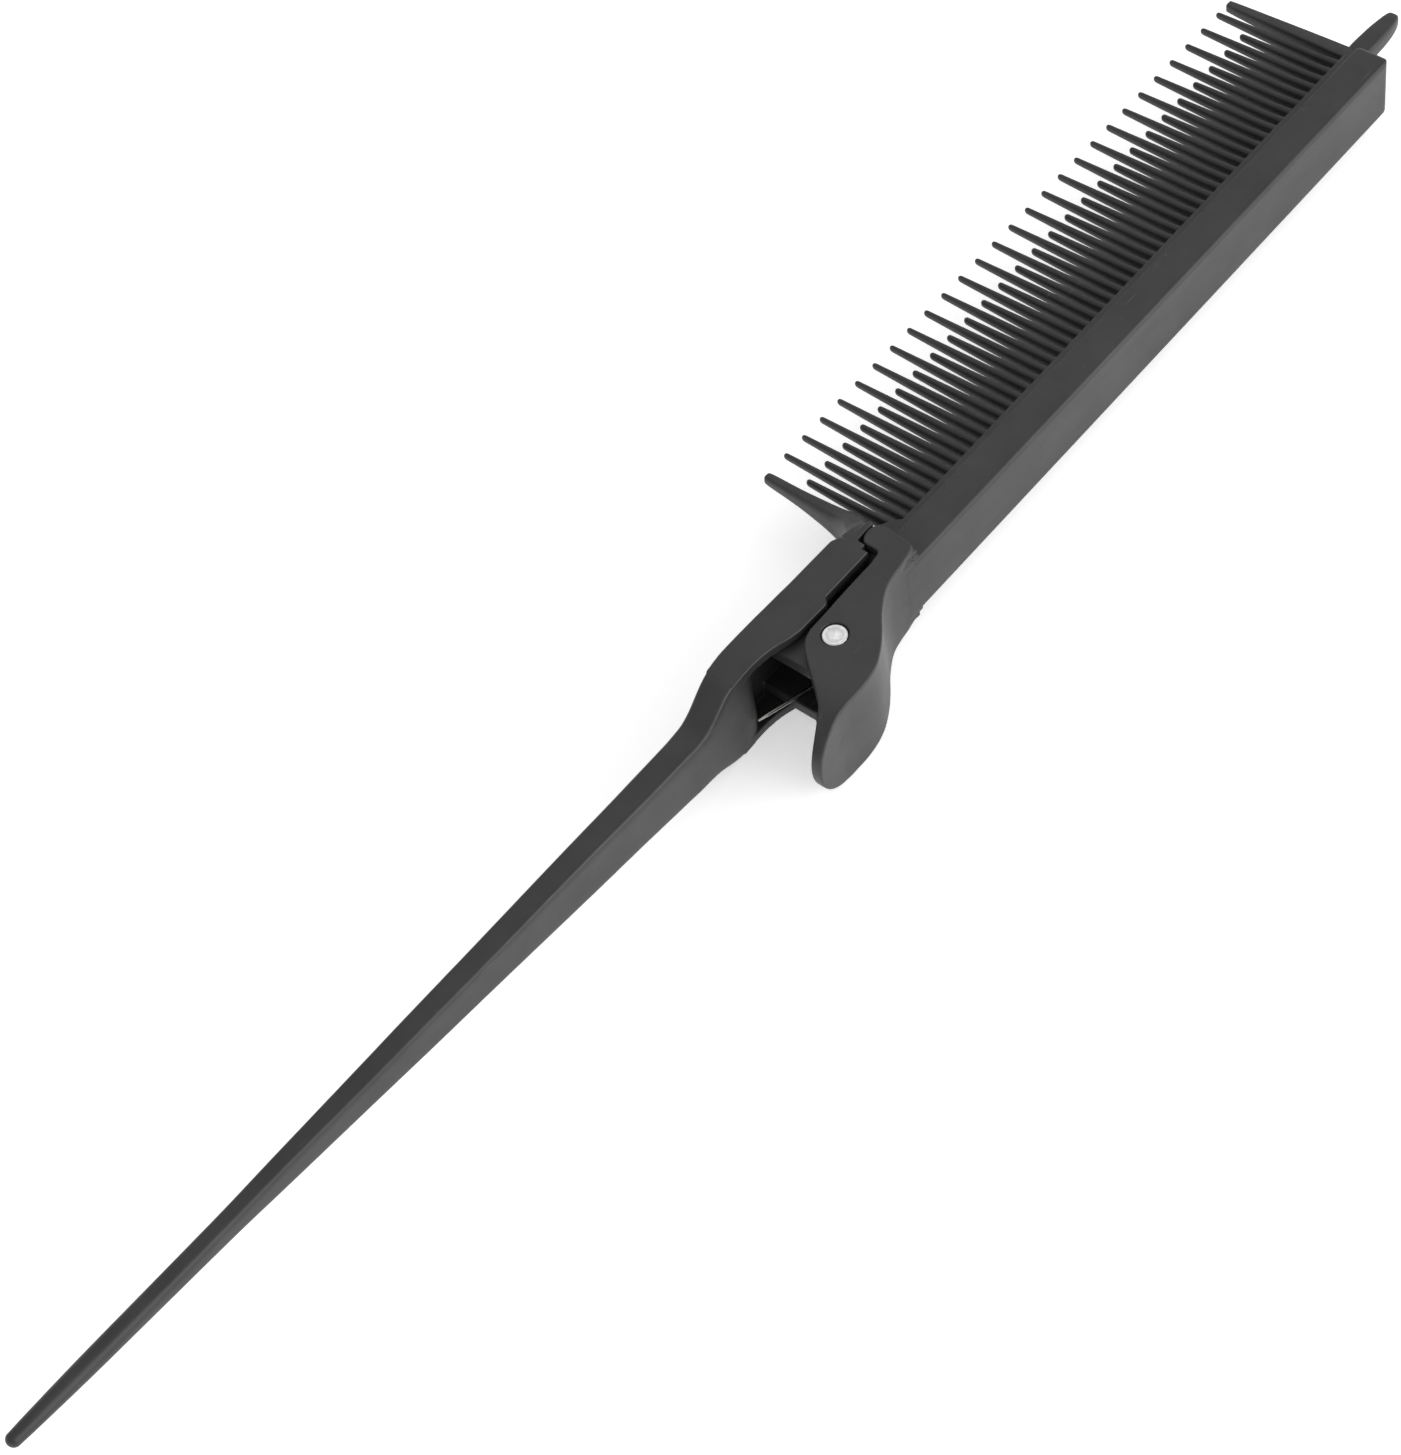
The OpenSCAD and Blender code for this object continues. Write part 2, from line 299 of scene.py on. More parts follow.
# A moulding's skin: size of its voxels, rounds of smoothing, and the share of its triangles that stays
skin_voxel = 0.15
skin_rounds = 2
skin_share = 0.3


def one_skin(shell, name, cuts=None):
    """One moulded skin from overlapping closed shapes, its edges and inner corners softened."""
    made = new_object(name, shell.mesh(name))
    if cuts is not None:
        cutter = new_object(name + "_cutter", cuts.mesh(name + "_cutter"))
        cut = made.modifiers.new("cut", "BOOLEAN")
        cut.operation = "DIFFERENCE"
        cut.solver = "EXACT"
        cut.use_self = True
        cut.object = cutter
        settle(made)
        bpy.data.objects.remove(cutter)
    skin = made.modifiers.new("skin", "REMESH")
    skin.mode = "VOXEL"
    skin.voxel_size = skin_voxel * MM
    soften = made.modifiers.new("soften", "SMOOTH")
    soften.factor = 0.5
    soften.iterations = skin_rounds
    thin = made.modifiers.new("thin", "DECIMATE")
    thin.decimate_type = "COLLAPSE"
    thin.ratio = skin_share
    settle(made)
    # The flat sides stay in the planes of the part's two faces
    for vertex in made.data.vertices:
        vertex.co.z = min(max(vertex.co.z, 0.0), housing_w * MM)
    return made


# ---------------------------------------------------------------- outlines of the mouldings

# Outer face of the clamp from the channel round the pivot to the thumb lever
web_face = curve([[channel_start_x, floor_low.y], [14.5, -0.15], [12, -0.35], [9.4, -1],
                  [6.4, -2.75], [3.9, -4.7], [1.7, -6.2], [-0.9, -7.5], [-3.9, -8.1],
                  [lever_x, lever_back_y]])
# Edge of a cheek that faces the handle, from the lever to the hook
cheek_edge = curve([[lever_x, -2.6], [-6.4, -0.9], [-4.4, 1.4], [-2.9, 2.65], [-1.2, 3.2]])
# Hook of a cheek, from its foot round the notch of the handle to the channel
hook = [[1.6, 3.25], [8, 3.42], [12, 3.45], [13.5, 3.65], [13.85, 3.85], [14, 4.3], [14, 6],
        [14.12, 6.35], [14.4, 6.65], [14.85, 6.92], [15.3, 7.05], [15.9, 7.12], [16.4, 7.1],
        [16.9, 6.92], [17.2, 6.7], [17.45, 6.35], [17.65, 5.95], [17.75, 5.4], [17.75, 4.2],
        [channel_start_x, 3.4]]
# Back corner of a cheek, cut away beside the channel
cheek_corner = [[channel_start_x, 1.2], [17.3, 0.75], [16.4, 0.28], [14.9, 0.05]]
# Lower edge of the handle's plates, from the neck to the pivot
plate_edge = curve([[cavity_x, 5.4], [-11.8, 5.55], [-9.6, 5.6], [-7.4, 5.4], [-5.6, 5],
                    [-3.7, 4.4], [-1.9, 4.05]])
# Upper edge of the handle, from the pivot back to the neck
roof_edge = curve([[3, 10.2], [-4, 10.4], [-9, 10.45], [-11.6, 10.35], [cavity_x, 10]])
# Inside of the handle: the floor of the neck curves up into the housing
ramp = curve([[cavity_x, 5.4], [-12.6, 5.5], [-10.6, 6], [-9.1, 7.2], [-8.3, roof_y]])

# Stations of the neck: position, lower edge, upper edge, width, squareness
neck_stations = [[-23, 4.55, 8.95, 8.95, 8], [-21, 4.6, 9.05, 9.3, 8],
                 [-19.2, 4.8, 9.25, 10.4, 9], [-17.6, 5, 9.5, 12, 10], [-16.2, 5.2, 9.7, 13.4, 12],
                 [-15, 5.33, 9.87, 14.3, 14], [cavity_x, 5.4, 10, 14.66, 16],
                 [-13, 5.45, 10.1, 14.66, 16]]
# Stations of the tail: position, height, width, squareness
tail_stations = [[-140, 2.2, 2.2, 2], [-131, 2.65, 2.75, 2], [-120, 2.65, 2.95, 2.6],
                 [-107, 2.6, 3.35, 3.5], [-98, 2.7, 4.05, 4.5], [-84, 3.05, 4.75, 6],
                 [-73, 3.3, 5.5, 7], [-61, 3.5, 6.2, 8], [-45, 3.8, 7.5, 8], [-35, 4.05, 7.95, 8],
                 [-30, 4.2, 8.3, 8], [-25, 4.25, 8.8, 8]]
tail_tip_r = 1.05


def tail_mid_y(x):
    return 6.1 - 0.027 * x


# ---------------------------------------------------------------- handle moulding

roof_rim_r = 0.3
plate_rim_r = 0.15


def handle_shell():
    """Tail, neck, housing with its lugs, and the guard tooth at the heel."""
    shell = Shell()

    # Tail and neck: one loft from the tip into the housing
    stations = [[x, tail_mid_y(x) - h / 2, tail_mid_y(x) + h / 2, w, q]
                for x, h, w, q in tail_stations] + neck_stations
    path = curve(stations, 5)
    # A few rings of a ball round the tip off
    rings = []
    for a in (12, 32, 52, 72):
        x = tail_end_x + tail_tip_r * (1 - math.cos(math.radians(a)))
        r = tail_tip_r * math.sin(math.radians(a))
        rings.append([(x, tail_mid_y(x) + r * c, mid_z + r * s) for c, s in superellipse(72, 2)])
    for x, low, high, w, q in path:
        rings.append([(x, (low + high) / 2 + (high - low) / 2 * c, mid_z + w / 2 * s)
                      for c, s in superellipse(72, q)])
    shell.loft(rings)

    # Roof between the two plates
    roof = ramp + [[housing_end_x - wall, roof_y], [housing_end_x - wall, plate_edge_y],
                   [housing_end_x, plate_edge_y], [housing_end_x, 9.2], [11.8, 10.1]] + roof_edge
    lap = 0.3
    shell.prism(roof, wall - lap, housing_w - wall + lap)

    # The two plates, with a small step past the pivot
    plate = plate_edge + [[0.5, 4], [2.9, 3.95], [3.4, 4.05], [3.7, 4.25], [4.1, plate_edge_y],
                          [plate_end_x, plate_edge_y], [plate_end_x, notch_y],
                          [notch_x, notch_y], [notch_x, stop_y],
                          [block_end_x, stop_y], [block_end_x, root_y + 0.4],
                          [housing_end_x, 8.4], [housing_end_x, 9.3], [12.5, 9.75],
                          [11.8, 10.08]] + roof_edge
    # Their rims stay sharp in the neck and beside the guard tooth, and are rounder at the roof than below
    edges = []
    for p in plate:
        if p[0] < cavity_x + 0.5 or (p[0] >= housing_end_x and p[1] > notch_y):
            edges.append(0.0)
        else:
            edges.append(roof_rim_r if p[1] > 8 else plate_rim_r)
    shell.prism(plate, 0, wall, low_edge=edges)
    shell.prism(plate, housing_w - wall, housing_w, high_edge=edges)

    # Lugs that carry the rivet
    lug_r = 3.6
    lug = [[-5.5, roof_y + 0.4], [-5.5, 0]]
    for k in range(15):
        a = math.radians(215 + 145 * k / 14)
        lug.append([lug_r * math.cos(a), lug_r * math.sin(a)])
    lug.append([lug_r, roof_y + 0.4])
    for low in (lug_z, housing_w - lug_z - lug_t):
        shell.prism(lug, low, low + lug_t, 0.15, 0.15)

    # Guard tooth at the heel: a flared block that narrows to a tooth, rounder above its base
    base_y = 9.7
    stations = [[housing_end_x, 8.0, block_end_x, root_y - 0.1, 14.7],
                [housing_end_x, 9.3, 17.5, root_y + 0.1, 14.4],
                [14, 10.1, 18.1, 8.1, 13.8], [15, 10.9, 18.8, 8.8, 12.2], [16.4, 12.2, 19.8, 10.4, 9.2],
                [17.45, 14.2, 20.35, 13, 6.1], [18.0, 16.8, 20.45, 16.4, 4.1],
                [18.65, 22, 20.45, 22, 2.5], [19.1, 27.6, 20.5, 27.6, 1.7],
                [19.3, 28.2, 20.3, 28.2, 1.3], [19.5, 28.48, 20.1, 28.48, 0.8]]
    rings = []
    for near_x, near_y, far_x, far_y, w in curve(stations, 5):
        slab = rounded_slab(0, 1, 0, 1, 0.3 if near_y > base_y else 0.06, 4)
        rings.append([(near_x + (far_x - near_x) * u, near_y + (far_y - near_y) * u,
                       mid_z - w / 2 + w * v) for u, v in slab])
    shell.loft(rings)
    return shell


# ---------------------------------------------------------------- clamp moulding

# Rounded edges: cheeks, their back corners, web, lever, and the channel's back edges
hook_edge_r = 0.2
cheek_edge_r = 0.3
near_corner_r = 0.6
far_corner_r = 1.6
corner_x = 16.2
web_fillet = 1.25
lever_fillet = 0.3
back_r = 0.7
# The channel's open end is rounded towards its back, its jaws' edges and its two flat sides
end_back_r = 1.6
end_jaw_r = 1.15
end_near_r = 1.1
end_far_r = 2.3
end_rim_r = 0.3
# Under the cheeks the web ends at web_end_x, the channel's floor begins at gusset_x and its jaws' shoulders
# at shoulder_x, so that they overlap
web_end_x = 16.6
gusset_x = 14.6
shoulder_x = 16.3


def rim_drop(depth, radius):
    """How far a rounded rim falls away at a distance in from its edge."""
    if depth >= radius:
        return 0.0
    return radius - math.sqrt(max(radius * radius - (radius - depth) ** 2, 0.0))


def level_at(points, x):
    """Height of a line of points at x, the points running one way along x."""
    ordered = sorted(points)
    if x <= ordered[0][0]:
        return ordered[0][1]
    for a, b in zip(ordered, ordered[1:]):
        if x <= b[0]:
            return a[1] + (b[1] - a[1]) * (x - a[0]) / max(b[0] - a[0], 1e-9)
    return ordered[-1][1]


def clamp_shell():
    """Cheeks, web, channel and thumb lever."""
    shell = Shell()

    # Cheeks: the edge towards the back is widely rounded, the others only a little
    back = cheek_corner + [p for p in web_face if p[0] < 13.8]
    cheek = back + cheek_edge + hook
    near = []
    far = []
    for i, p in enumerate(cheek):
        if i >= len(back):
            near.append(hook_edge_r)
            far.append(hook_edge_r)
        elif p[0] > corner_x:
            near.append(near_corner_r)
            far.append(far_corner_r)
        else:
            near.append(cheek_edge_r)
            # The round grows away from the lever, and a little more towards the channel
            widest = web_fillet + max(p[0] - 12, 0) * 0.09
            far.append(max(cheek_edge_r, min(widest, (p[0] - lever_x) * 0.16)))
    shell.prism(cheek, 0, cheek_t + 0.1, low_edge=far)
    shell.prism(cheek, housing_w - cheek_t - 0.1, housing_w, high_edge=near)

    # Web between the cheeks, up to where the channel takes over
    outer = [p for p in web_face if p[0] < web_end_x]
    inner = beside(outer, -cheek_t)
    shell.prism(outer + inner[::-1], cheek_t, housing_w - cheek_t)

    # Shoulders that join the cheeks to the jaws of the channel
    shoulder = [[shoulder_x, 0.4], [channel_start_x, 0.4],
                [channel_start_x, jaws_high.y], [shoulder_x, jaws_high.y]]
    shell.prism(shoulder, cheek_t - 0.4, floor_low.z + wall)
    shell.prism(shoulder, floor_high.z - wall, housing_w - cheek_t + 0.4)

    # Channel: a U section, its back edges and its open end rounded
    low_y = floor_low.y
    high_y = jaws_high.y
    z0 = floor_low.z
    z1 = floor_high.z
    inner_r = 0.35
    kept = 0.04
    section = [(high_y - 0.12, z0), (low_y + back_r, z0)]
    for k in range(1, 6):
        a = math.radians(90 * k / 5)
        section.append((low_y + back_r - back_r * math.sin(a), z0 + back_r - back_r * math.cos(a)))
    for k in range(6):
        a = math.radians(90 * k / 5)
        section.append((low_y + back_r - back_r * math.cos(a), z1 - back_r + back_r * math.sin(a)))
    section += [(high_y - 0.12, z1), (high_y, z1 - 0.12), (high_y, z1 - wall + 0.3),
                (high_y - 0.3, z1 - wall), (low_y + wall + inner_r, z1 - wall),
                (low_y + wall, z1 - wall - inner_r), (low_y + wall, z0 + wall + inner_r),
                (low_y + wall + inner_r, z0 + wall), (high_y - 0.3, z0 + wall),
                (high_y, z0 + wall - 0.3), (high_y, z0 + 0.12)]
    normals = inward_normals(section)
    rings = []
    levels = [gusset_x, channel_start_x - 1.3]
    levels += [channel_end_x - d for d in (2.4, 2, 1.6, 1.3, 1, 0.7, 0.45, 0.25, 0.12, 0.04)]
    for x in levels:
        to_end = channel_end_x - x
        low_limit = low_y + rim_drop(to_end, end_back_r)
        high_limit = high_y - rim_drop(to_end, end_jaw_r)
        # The jaws rise from the web over a short slope
        if x == gusset_x:
            high_limit = low_y + wall + 0.1
        top_limit = z1 - rim_drop(to_end, end_near_r)
        bottom_limit = z0 + rim_drop(to_end, end_far_r)
        inset = rim_drop(to_end, end_rim_r)
        ring = []
        for p, n in zip(section, normals):
            y = p[0] + inset * n.x
            z = p[1] + inset * n.y
            # A little of the section's own shape is kept, so that no two points coincide
            y = min(max(y, low_limit + kept * (y - low_y)), high_limit - kept * (high_y - y))
            z = min(max(z, bottom_limit + kept * (z - z0)), top_limit - kept * (z1 - z))
            ring.append((x, y, z))
        rings.append(ring)
    shell.loft(rings)

    # Thumb lever: a half round tab with a shallow pocket, its rim a wall that carries the cheeks on
    outer_r = housing_w / 2
    pocket_r = outer_r - cheek_t
    pocket_y = lever_back_y + cheek_t
    back_line = [[lever_x, lever_back_y], [-9.9, -8.25], [-13.4, -8.7], [-16, -9.05]]
    rim_line = [[-16, -7.35]] + curve([[-14.4, -7.1], [-13.2, -6.75], [-11.6, -6.05], [-9.7, -4.85],
                                       [lever_x, -2.6]])
    radii = [0.0, 1.5, 3, 4.4, 5.2, pocket_r - 0.1, pocket_r - 0.02, pocket_r + 0.1]
    radii += [6.3, 6.7, outer_r - 0.35, outer_r - 0.27, outer_r - 0.2, outer_r - 0.13,
              outer_r - 0.07, outer_r - 0.02, outer_r]
    lap = 0.6
    columns = [(lap, 0, 1)]
    columns += [(0, math.cos(a), math.sin(a)) for a in [math.radians(90 + 4 * k) for k in range(46)]]
    columns.append((lap, 0, -1))
    rings = []
    for offset, c, s in columns:
        lower = []
        upper = []
        for r in radii:
            x = lever_x + offset + r * c
            z = mid_z + r * s
            depth = outer_r - r
            base = level_at(back_line, min(x, lever_x))
            top = level_at(rim_line, min(x, lever_x))
            if r < pocket_r:
                top = min(top, pocket_y)
            else:
                top -= rim_drop(depth, 0.3) + rim_drop(r - pocket_r, 0.1)
            lower.append((x, min(base + rim_drop(depth, lever_fillet), top - 0.05), z))
            upper.append((x, top, z))
        rings.append(lower + upper[::-1])
    shell.loft(rings)
    return shell


def pivot_cuts():
    """The rivet's bore and counterbores, as a shape to take away from the cheeks."""
    cuts = Shell()
    bore_r = shank_r + 0.05
    past = 1.0
    profile = [(counterbore_r, -past), (counterbore_r, counterbore_t), (bore_r, counterbore_t),
               (bore_r, housing_w - counterbore_t), (counterbore_r, housing_w - counterbore_t),
               (counterbore_r, housing_w + past)]
    cuts.loft(turned(profile, 48))
    return cuts


# ---------------------------------------------------------------- spine, tongue and teeth


def spine_shell():
    """Spine of the comb, the tongue past its end, and the guard tooth at the toe."""
    shell = Shell()
    bar = rounded_slab(spine_low.y, root_y, spine_low.z, spine_high.z, 0.3)
    shell.prism(bar, housing_end_x - 0.3, channel_end_x, high_edge=0.15, place=lengthwise)
    # Web that fills the first gap's root beside the heel guard
    web = [[16.8, 7.2], [23.4, 7.2], [23.0, 7.9], [22.0, 8.7], [20.6, 9.6], [19.4, 10], [16.8, 8.6]]
    half_t = 1.9
    shell.prism(web, mid_z - half_t, mid_z + half_t, 0.1, 0.1)
    # Tongue: a flat blade that narrows to its end
    tongue_w = 2.9
    reach = tongue_high.x - tongue_low.x
    shares = [[0.03, 5.1, 8.4, 1], [0.44, 5.1, 8.3, 0.98], [0.68, 5.25, 8.08, 0.92],
              [0.84, 5.5, 7.88, 0.84], [0.94, 5.8, 7.7, 0.72], [0.985, 6.05, 7.52, 0.58],
              [1, 6.4, 7.25, 0.4]]
    stations = [[channel_end_x - 1.5, 5.1, 7.55, 1], [tongue_low.x - 0.2, 5.1, 7.6, 1]]
    stations += [[tongue_low.x + reach * share, low, high, w] for share, low, high, w in shares]
    rings = []
    for x, low, high, share in curve(stations, 5):
        w = tongue_w * share
        rings.append([(x, (low + high) / 2 + (high - low) / 2 * c, mid_z + w / 2 * s)
                      for c, s in superellipse(48, 4.5)])
    shell.loft(rings)
    # Guard tooth at the toe
    toe_x = channel_end_x + 1.1
    stations = [[root_y - 0.6, -1.3, 1, 2.9], [root_y + 0.8, -1.28, 0.95, 2.85], [14, -1.2, 0.75, 2.7],
                [21.5, -1.05, 0.55, 2.2], [27.6, -0.87, 0.45, 1.6], [28.3, -0.75, 0.33, 1.3],
                [28.55, -0.5, 0.1, 0.8]]
    rings = []
    for y, inner, outer, w in curve(stations, 4):
        slab = rounded_slab(inner, outer, -w / 2, w / 2, 0.3)
        rings.append([(toe_x + u, y, mid_z + v) for u, v in slab])
    shell.loft(rings)
    return shell


def tooth_row(start_x, tip_y, mid_size, tip_size):
    """A row of tapered teeth, flared at the root and rounded at the tip."""
    shell = Shell()
    length = tip_y - root_y
    stations = [[-0.5, 1.6, 3.4], [0.0, 1.55, 3.3], [0.5, 1.38, 3.1], [1.3, 1.25, 2.9], [3, 1.18, 2.6],
                [length * 0.5, mid_size[0], mid_size[1]],
                [length - 0.6, tip_size[0], tip_size[1]],
                [length - 0.3, tip_size[0] * 0.9, tip_size[1] * 0.9],
                [length - 0.12, tip_size[0] * 0.66, tip_size[1] * 0.66],
                [length - 0.02, tip_size[0] * 0.34, tip_size[1] * 0.34],
                [length, tip_size[0] * 0.1, tip_size[1] * 0.1]]
    for k in range(tooth_pairs):
        x = start_x + tooth_pitch * k
        rings = []
        for up, wx, wz in stations:
            rings.append([(x + wx / 2 * s, root_y + up, mid_z + wz / 2 * c)
                          for c, s in superellipse(20, 2.3)])
        shell.loft(rings)
    return shell


# ---------------------------------------------------------------- rivet and spring


def rivet_shell():
    """A tubular rivet turned about the pivot axis: cupped heads with a raised rim, a smooth shank."""
    shell = Shell()
    # The heads' rims lie a little below the cheeks' faces
    low = 0.12
    profile = [(0.02, low + 0.24), (0.4, low + 0.23), (0.8, low + 0.17), (1.15, low + 0.06), (1.35, low),
               (1.58, low + 0.01), (head_r - 0.1, low + 0.06), (head_r - 0.03, low + 0.14),
               (head_r - 0.01, low + 0.25), (head_r - 0.03, counterbore_t), (shank_r, counterbore_t),
               (shank_r, mid_z)]
    mirrored = [(r, housing_w - z) for r, z in reversed(profile[:-1])]
    shell.loft(turned(profile + mirrored, 72))
    return shell


def spring_shell():
    """Torsion spring: handle leg, coil round the rivet, lever leg."""
    wire_r = 0.27
    coil_r = 1.94
    turns = 8
    handle_end = (-10.9, 5.35)
    lever_end = (-8.6, -6.15)
    coil_gap = 0.08
    coil_z = lug_z + lug_t + wire_r + coil_gap
    rise = housing_w - 2 * coil_z

    def leave_angle(end, side):
        return math.atan2(end[1], end[0]) + side * math.acos(coil_r / math.hypot(*end))

    start = leave_angle(handle_end, -1)
    end = leave_angle(lever_end, 1) - 2 * math.pi
    sweep = end - start - 2 * math.pi * (turns - 1)
    steps = 40 * turns
    path = []
    first = Vector((coil_r * math.cos(start), coil_r * math.sin(start), coil_z))
    far = Vector((handle_end[0], handle_end[1], coil_z))
    for k in range(8):
        path.append(far.lerp(first, k / 8))
    for i in range(steps + 1):
        a = start + sweep * i / steps
        path.append(Vector((coil_r * math.cos(a), coil_r * math.sin(a), coil_z + rise * i / steps)))
    last = path[-1].copy()
    far = Vector((lever_end[0], lever_end[1], housing_w - coil_z))
    for k in range(1, 9):
        path.append(last.lerp(far, k / 8))
    shell = Shell()
    rings = []
    count = 12
    for i, p in enumerate(path):
        along = (path[min(i + 1, len(path) - 1)] - path[max(i - 1, 0)]).normalized()
        side = along.cross(Vector((0, 0, 1))).normalized()
        up = side.cross(along)
        # The wire's two ends are cut a little narrower
        share = 0.75 if i in (0, len(path) - 1) else 1
        rings.append([p + side * (wire_r * share * math.cos(2 * math.pi * k / count))
                      + up * (wire_r * share * math.sin(2 * math.pi * k / count)) for k in range(count)])
    shell.loft(rings)
    return shell, coil_z, rise


# ---------------------------------------------------------------- materials


class Paint:
    """A node material with a few short ways to add nodes."""

    def __init__(self, name):
        self.material = bpy.data.materials.new(name)
        self.material.use_nodes = True
        self.tree = self.material.node_tree
        self.shader = self.tree.nodes["Principled BSDF"]
        self.place = self.add("ShaderNodeTexCoord").outputs["Object"]

    def add(self, kind, **inputs):
        node = self.tree.nodes.new(kind)
        for key, value in inputs.items():
            node.inputs[key].default_value = value
        return node

    def link(self, output, target):
        self.tree.links.new(output, target)

    def stretched(self, scale):
        mapping = self.add("ShaderNodeMapping")
        mapping.inputs["Scale"].default_value = scale
        self.link(self.place, mapping.inputs["Vector"])
        return mapping.outputs["Vector"]

    def noise(self, scale, detail=2.0, rough=0.5, where=None):
        node = self.add("ShaderNodeTexNoise", Scale=scale, Detail=detail, Roughness=rough)
        self.link(self.place if where is None else where, node.inputs["Vector"])
        return node.outputs["Fac"]

    def ramp(self, value, low, high, from_value=0.0, to_value=1.0):
        node = self.add("ShaderNodeMapRange")
        node.clamp = True
        node.inputs["From Min"].default_value = low
        node.inputs["From Max"].default_value = high
        node.inputs["To Min"].default_value = from_value
        node.inputs["To Max"].default_value = to_value
        self.link(value, node.inputs["Value"])
        return node.outputs["Result"]

    def maths(self, operation, a, b):
        node = self.add("ShaderNodeMath")
        node.operation = operation
        for socket, value in zip(node.inputs, (a, b)):
            if isinstance(value, (int, float)):
                socket.default_value = value
            else:
                self.link(value, socket)
        return node.outputs["Value"]

    def mix(self, share, a, b):
        node = self.add("ShaderNodeMix")
        node.data_type = "RGBA"
        self.link(share, node.inputs["Factor"])
        for socket, value in ((node.inputs[6], a), (node.inputs[7], b)):
            if isinstance(value, tuple):
                socket.default_value = value
            else:
                self.link(value, socket)
        return node.outputs[2]

    def bump(self, height, strength, distance, under=None):
        node = self.add("ShaderNodeBump", Strength=strength, Distance=distance)
        self.link(height, node.inputs["Height"])
        if under is not None:
            self.link(under, node.inputs["Normal"])
        return node.outputs["Normal"]


def plastic(name, base, roughness):
    """Satin black moulded plastic: fine moulded grain, faint flow marks, small scuffs, edges painted paler as
    wear and as a painted highlight.
    """
    paint = Paint(name)
    shader = paint.shader
    dark = tuple(0.8 * c for c in base) + (1,)
    light = tuple(1.25 * c for c in base) + (1,)
    cloud = paint.noise(140, 3, 0.6)
    flow = paint.noise(60, 4, 0.6, paint.stretched((0.35, 1.6, 1.6)))
    colour = paint.mix(paint.ramp(cloud, 0.3, 0.7), dark, light)
    # Convex edges are painted a little paler in patches: partly rubbed wear, partly a painted edge highlight
    edge = paint.add("ShaderNodeNewGeometry").outputs["Pointiness"]
    worn_and_highlit_edges = paint.maths("MULTIPLY", paint.ramp(edge, 0.52, 0.6), paint.ramp(paint.noise(420, 3), 0.42, 0.7))
    colour = paint.mix(paint.maths("MULTIPLY", worn_and_highlit_edges, 0.14), colour, (0.085, 0.087, 0.086, 1))
    # Short fine scratches and tiny nicks
    scratch = paint.noise(900, 2, 0.5, paint.stretched((0.12, 1, 1)))
    nick = paint.noise(1500, 1, 0.5)
    marks = paint.maths("MAXIMUM", paint.ramp(scratch, 0.7, 0.78), paint.ramp(nick, 0.79, 0.83))
    colour = paint.mix(paint.maths("MULTIPLY", marks, 0.35), colour, (0.12, 0.12, 0.12, 1))
    paint.link(colour, shader.inputs["Base Color"])
    # Gloss varies with the flow marks and falls in the scratches
    gloss = paint.ramp(flow, 0.3, 0.7, roughness - 0.05, roughness + 0.06)
    gloss = paint.maths("ADD", gloss, paint.maths("MULTIPLY", marks, 0.15))
    paint.link(gloss, shader.inputs["Roughness"])
    shader.inputs["IOR"].default_value = 1.49
    # Fine grain of the mould, then broad faint sink marks
    grain = paint.bump(paint.noise(9000, 2, 0.6), 0.25, 0.00002)
    waves = paint.bump(flow, 0.2, 0.0001, grain)
    cut = paint.bump(paint.maths("MULTIPLY", marks, -1), 0.3, 0.00002, waves)
    paint.link(cut, shader.inputs["Normal"])
    return paint.material


def metal(name, base, roughness, scale, ring_marks):
    """Plain metal with turning or drawing marks, a mottled polish and a few dark specks."""
    paint = Paint(name)
    shader = paint.shader
    shader.inputs["Metallic"].default_value = 1.0
    mottled = paint.noise(scale, 4, 0.6)
    light = tuple(base) + (1,)
    dull = tuple(0.76 * c for c in base) + (1,)
    colour = paint.mix(paint.ramp(mottled, 0.35, 0.7), light, dull)
    speck = paint.ramp(paint.noise(scale * 1.7, 2, 0.5), 0.7, 0.76)
    colour = paint.mix(speck, colour, (0.08, 0.08, 0.08, 1))
    paint.link(colour, shader.inputs["Base Color"])
    gloss = paint.ramp(paint.noise(scale * 2, 3), 0.3, 0.7, roughness - 0.08, roughness + 0.12)
    paint.link(gloss, shader.inputs["Roughness"])
    lines = paint.noise(scale * 3, 2, 0.5, paint.stretched(ring_marks))
    paint.link(paint.bump(lines, 0.3, 0.00002), shader.inputs["Normal"])
    return paint.material


def pale_floor():
    paint = Paint("studio_floor_paint")
    tone = paint.mix(paint.ramp(paint.noise(6, 3), 0.3, 0.7), (0.86, 0.86, 0.86, 1), (0.88, 0.88, 0.88, 1))
    paint.link(tone, paint.shader.inputs["Base Color"])
    paint.shader.inputs["Roughness"].default_value = 0.9
    paint.shader.inputs["Specular IOR Level"].default_value = 0.1
    # The sweep is lit from behind as well, as on a light table
    paint.shader.inputs["Emission Color"].default_value = (1, 1, 1, 1)
    paint.shader.inputs["Emission Strength"].default_value = 0.49
    return paint.material


comb_plastic = plastic("comb_black_plastic", (0.022, 0.0225, 0.022), 0.46)
clamp_plastic = plastic("clamp_black_plastic", (0.023, 0.0235, 0.023), 0.46)
rivet_metal = metal("rivet_aluminium", (0.91, 0.915, 0.91), 0.3, 900, (1, 1, 0.2))
spring_steel = metal("spring_wire_steel", (0.52, 0.51, 0.49), 0.3, 1400, (1, 1, 0.3))

# ---------------------------------------------------------------- pieces

handle = one_skin(handle_shell(), "handle_moulding")
finish_piece(handle, comb_plastic, "comb",
             ("rat_tail", "handle_neck", "housing_roof", "housing_plates", "pivot_lugs",
              "heel_guard_tooth"), 0)

spine = new_object("comb_spine_bar", spine_shell().mesh("comb_spine_bar"))
finish_piece(spine, comb_plastic, "comb", ("comb_spine", "spine_tongue", "toe_guard_tooth"))

# Width and thickness of the teeth, halfway up and at the tip
long_mid = (1.05, 1.9)
long_tip = (0.72, 1.15)
short_mid = (1.1, 2.05)
short_tip = (0.8, 1.3)

